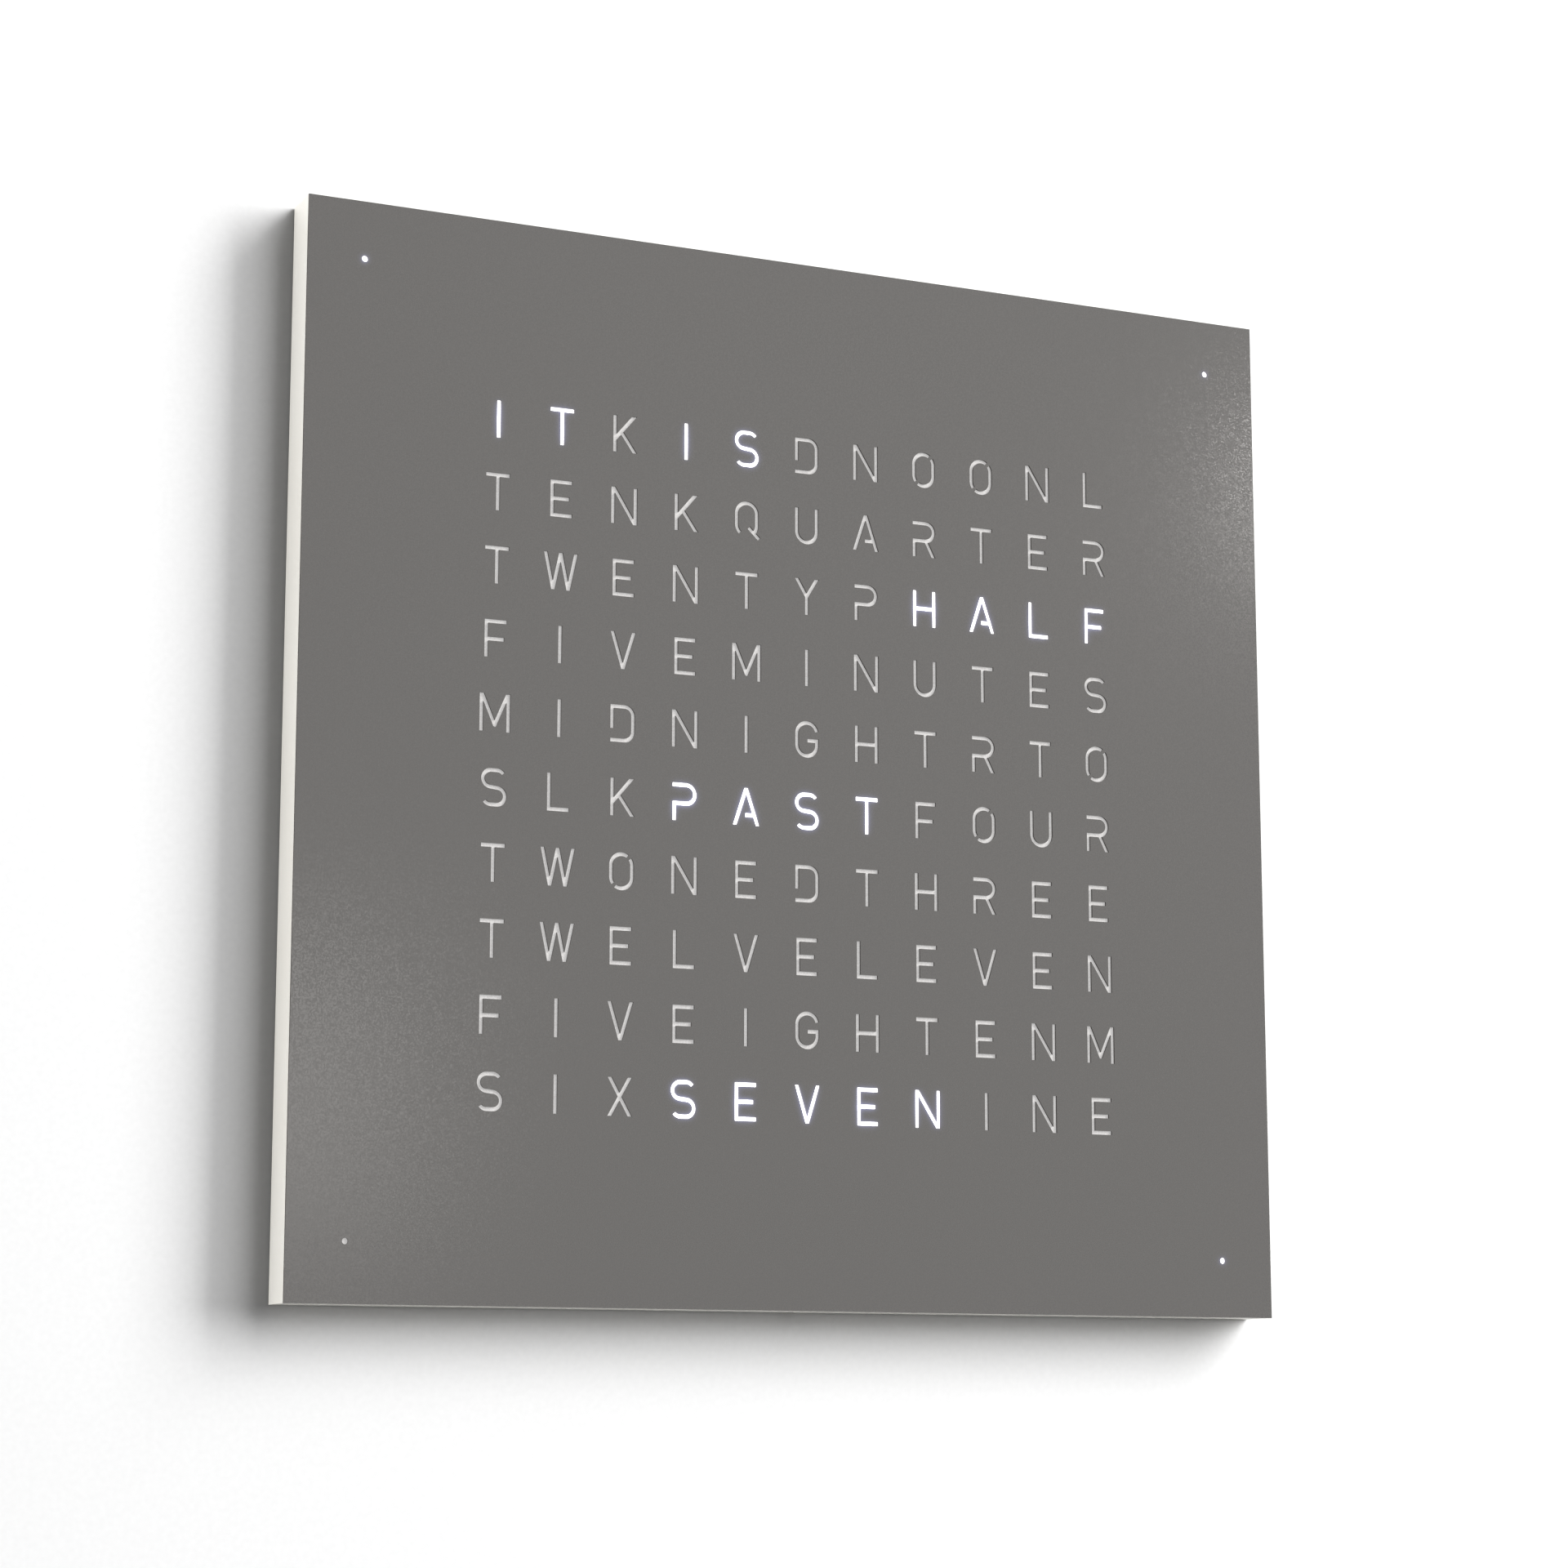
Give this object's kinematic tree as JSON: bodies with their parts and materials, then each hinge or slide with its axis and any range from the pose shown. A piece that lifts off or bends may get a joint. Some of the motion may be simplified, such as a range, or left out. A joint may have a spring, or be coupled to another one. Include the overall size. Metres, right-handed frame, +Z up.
{
  "type": "word clock",
  "caption": "Flat square wall clock that lights words behind a stencil-cut sheet steel cover, with a magnet-held cover, a lacquered wooden case and setting keys in its side.",
  "frame": {"origin": "centre of the back, in the plane of the wall", "axes": "+Z up, +X to the right as seen by someone facing the clock, +Y from the room into the wall; the lettered face looks along -Y"},
  "size_m": [0.4508, 0.02, 0.45],
  "materials": {
    "aluminium_can": "drawn can",
    "black_plastic": "satin moulded",
    "brass": "turned",
    "case_lacquer": "satin off-white lacquer on wood fibre board",
    "circuit_board": "green solder mask",
    "copper_coil": "enamelled copper wire",
    "cover_powder_coat": "fine metallic powder coat",
    "ferrite": "pressed and sintered",
    "foam": "closed cell foam",
    "hardboard": "smooth face of hardboard",
    "key_plastic": "satin moulded",
    "lead_insulation": "smooth insulation",
    "led_package": "white package, yellow phosphor window",
    "nickel_magnet": "nickel plated",
    "opal_acrylic": "opal, satin",
    "ribbon": "flat ribbed insulation",
    "stainless_steel": "brushed sheet",
    "white_card": "matt white baffle sheet",
    "white_circuit_board": "white solder mask",
    "white_plastic": "satin moulded",
    "zinc_steel": "bright zinc plate"
  },
  "bodies": {
    "case": {"aerial_clips": "white_plastic", "aerial_coil": "copper_coil", "aerial_lead": "lead_insulation", "aerial_rod": "ferrite", "back_panel": "hardboard", "back_panel_screws": "zinc_steel", "backup_cell": "stainless_steel", "capacitors": "aluminium_can", "cell_holder": "black_plastic", "clock_crystal": "aluminium_can", "control_board": "circuit_board", "control_board_bolts": "zinc_steel", "control_board_nuts": "zinc_steel", "control_board_spacers": "white_plastic", "frame_rail_bottom": "case_lacquer", "frame_rail_left": "case_lacquer", "frame_rail_right": "case_lacquer", "frame_rail_top": "case_lacquer", "hanger_plate_left": "stainless_steel", "hanger_plate_right": "stainless_steel", "hanger_screws": "zinc_steel", "holding_magnets": "nickel_magnet", "key_board": "circuit_board", "key_board_screws": "zinc_steel", "key_lead": "lead_insulation", "key_switches": "black_plastic", "led_board": "white_circuit_board", "led_board_bolts": "zinc_steel", "led_board_nuts": "zinc_steel", "led_board_spacers": "white_plastic", "letter_leds": "led_package", "level_baffles": "white_card", "light_sensor": "black_plastic", "minute_board_pads": "foam", "minute_led_boards": "white_circuit_board", "minute_led_leads": "lead_insulation", "minute_leds": "led_package", "minute_light_wells": "white_plastic", "opal_sheet": "opal_acrylic", "pin_bushes": "brass", "power_socket": "black_plastic", "power_socket_contact": "brass", "processor": "black_plastic", "receiver_board": "circuit_board", "receiver_chip": "black_plastic", "receiver_lead": "lead_insulation", "receiver_pad": "foam", "regulator": "black_plastic", "ribbon_cable": "ribbon", "ribbon_plug_lower": "black_plastic", "ribbon_plug_upper": "black_plastic", "upright_baffles": "white_card"},
    "cover": {"front_cover": "cover_powder_coat", "locating_pins": "zinc_steel"},
    "mode_button": {"mode_key": "key_plastic", "mode_plunger": "black_plastic"},
    "hour_button": {"hour_key": "key_plastic", "hour_plunger": "black_plastic"},
    "minute_button": {"minute_key": "key_plastic", "minute_plunger": "black_plastic"}
  },
  "joints": [
    {"name": "cover_lift_off", "type": "slide", "parent": "case", "child": "cover", "axis": [0, -1, 0], "range_m": [0, 0.06]},
    {"name": "mode_press", "type": "slide", "parent": "case", "child": "mode_button", "axis": [-1, 0, 0], "range_m": [0, 0.0005], "stiffness_N_per_m": 1500, "springref_m": -0.0003},
    {"name": "hour_press", "type": "slide", "parent": "case", "child": "hour_button", "axis": [-1, 0, 0], "range_m": [0, 0.0005], "stiffness_N_per_m": 1500, "springref_m": -0.0003},
    {"name": "minute_press", "type": "slide", "parent": "case", "child": "minute_button", "axis": [-1, 0, 0], "range_m": [0, 0.0005], "stiffness_N_per_m": 1500, "springref_m": -0.0003}
  ]
}
